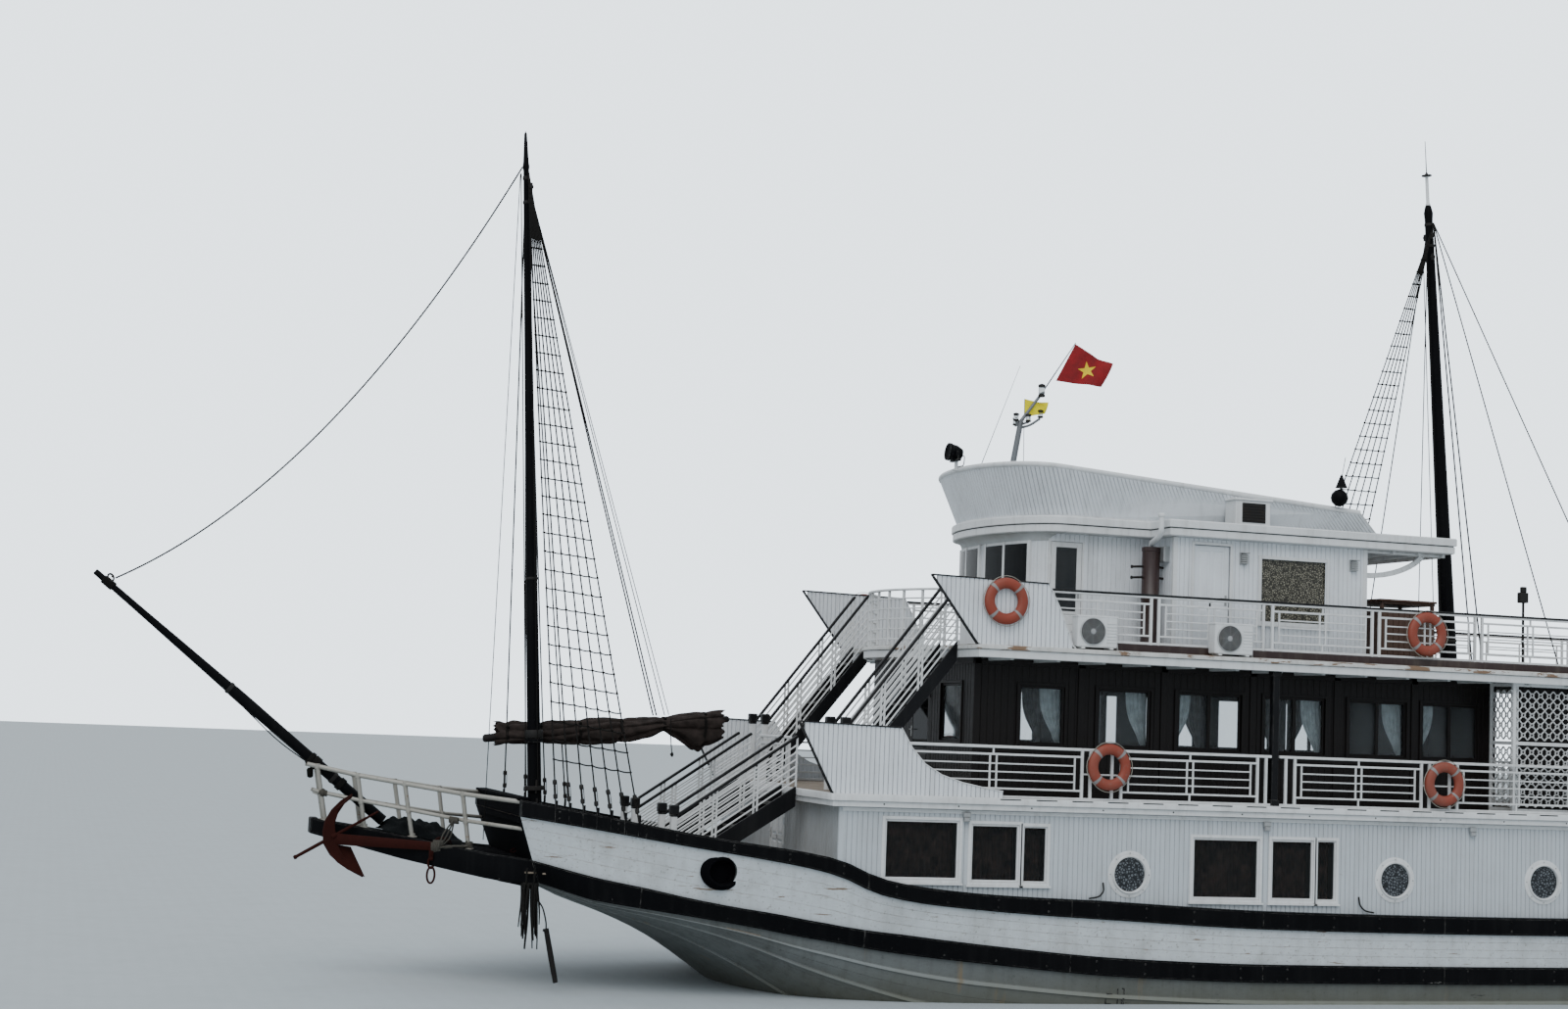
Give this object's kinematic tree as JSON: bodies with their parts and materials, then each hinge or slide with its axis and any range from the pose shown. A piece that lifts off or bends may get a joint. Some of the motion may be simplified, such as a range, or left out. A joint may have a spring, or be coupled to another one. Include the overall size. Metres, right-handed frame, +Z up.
{
  "type": "two-masted wooden cruise junk",
  "caption": "Wooden cruising junk afloat: decked hull with a beak and bowsprit, three decks with cabins, saloon and wheelhouse, two masts, swinging furled sail, rudder, propeller and doors.",
  "frame": {"origin": "on the centreline at the waterline, a little forward of amidships", "axes": "+X to the bow, +Y to port, +Z up"},
  "size_m": [32.0869, 6.8612, 17.1405],
  "materials": {
    "hull_paint": "painted, weathered",
    "white_paint": "painted, satin",
    "black_paint": "painted, semi-gloss",
    "dark_wood": "varnished dark brown",
    "bare_tube": "weathered",
    "rusty_iron": "rust-red paint",
    "rope": "tarred rope",
    "sailcloth": "old brown canvas",
    "window_glass": "clear",
    "grey_metal": "satin",
    "bronze": "cast"
  },
  "bodies": {
    "ship": {"aft_mast": "black_paint", "aft_shrouds_port": "rope", "aircon_aft": "grey_metal", "aircon_fore": "grey_metal", "anchor": "rusty_iron", "backstays_port": "rope", "backstays_starboard": "rope", "beak": "black_paint", "beak_rail": "bare_tube", "bowsprit": "black_paint", "deck_2": "white_paint", "deck_2_front_rail": "white_paint", "deck_2_rail_port": "white_paint", "deck_2_rail_starboard": "white_paint", "deck_2_stern_rail": "white_paint", "deck_3": "white_paint", "deck_3_front_rail": "white_paint", "deck_3_rail_port": "white_paint", "deck_3_rail_starboard": "white_paint", "deck_3_stern_rail": "white_paint", "deck_house": "white_paint", "fore_shrouds_port": "rope", "fore_shrouds_starboard": "rope", "foremast": "black_paint", "forestay": "rope", "hull": "hull_paint", "lattice_port": "white_paint", "lattice_starboard": "white_paint", "light_mast": "grey_metal", "lower_bulwark_port": "white_paint", "lower_bulwark_starboard": "white_paint", "lower_house": "white_paint", "lower_stair_port": "white_paint", "lower_stair_starboard": "white_paint", "lower_wale_port": "black_paint", "lower_wale_starboard": "black_paint", "parapet": "white_paint", "roof": "white_paint", "saloon": "dark_wood", "saloon_glass_port": "window_glass", "saloon_glass_starboard": "window_glass", "upper_bulwark_port": "white_paint", "upper_bulwark_starboard": "white_paint", "upper_stair_port": "white_paint", "upper_stair_starboard": "white_paint", "upper_wale_port": "black_paint", "upper_wale_starboard": "black_paint"},
    "boom": {"boom": "black_paint", "furled_sail": "sailcloth"},
    "rudder": {"rudder": "hull_paint"},
    "propeller": {"propeller": "bronze"},
    "house_door": {"house_door": "white_paint"},
    "saloon_door": {"saloon_door": "dark_wood"},
    "wheelhouse_door_port": {"wheelhouse_door_port": "white_paint"},
    "wheelhouse_door_starboard": {"wheelhouse_door_starboard": "white_paint"},
    "cabin_door_port": {"cabin_door_port": "white_paint"},
    "cabin_door_starboard": {"cabin_door_starboard": "white_paint"}
  },
  "joints": [
    {"name": "boom_swing", "type": "hinge", "parent": "ship", "child": "boom", "pos_m": [10.5615, 0, 3.9], "axis": [0.0643, 0, 0.9979], "range_deg": [-30, 30]},
    {"name": "rudder_turn", "type": "hinge", "parent": "ship", "child": "rudder", "pos_m": [-12.65, 0, -0.8], "axis": [0, 0, 1], "range_deg": [-35, 35]},
    {"name": "propeller_spin", "type": "hinge", "parent": "ship", "child": "propeller", "pos_m": [-11.8, 0, -1.08], "axis": [1, 0, 0], "continuous": true},
    {"name": "house_door_hinge", "type": "hinge", "parent": "ship", "child": "house_door", "pos_m": [6.3523, 0.386, 2.3], "axis": [0, 0, 1], "range_deg": [0, 100]},
    {"name": "saloon_door_hinge", "type": "hinge", "parent": "ship", "child": "saloon_door", "pos_m": [3.8623, 0.456, 4.2], "axis": [0, 0, 1], "range_deg": [0, 100]},
    {"name": "wheelhouse_door_hinge_port", "type": "hinge", "parent": "ship", "child": "wheelhouse_door_port", "pos_m": [2.326, 1.8123, 6.5], "axis": [0, 0, -1], "range_deg": [0, 100]},
    {"name": "wheelhouse_door_hinge_starboard", "type": "hinge", "parent": "ship", "child": "wheelhouse_door_starboard", "pos_m": [2.326, -1.8123, 6.5], "axis": [0, 0, 1], "range_deg": [0, 100]},
    {"name": "cabin_door_hinge_port", "type": "hinge", "parent": "ship", "child": "cabin_door_port", "pos_m": [0.086, 2.5177, 6.5], "axis": [0, 0, 1], "range_deg": [0, 100]},
    {"name": "cabin_door_hinge_starboard", "type": "hinge", "parent": "ship", "child": "cabin_door_starboard", "pos_m": [0.086, -2.5177, 6.5], "axis": [0, 0, -1], "range_deg": [0, 100]}
  ]
}
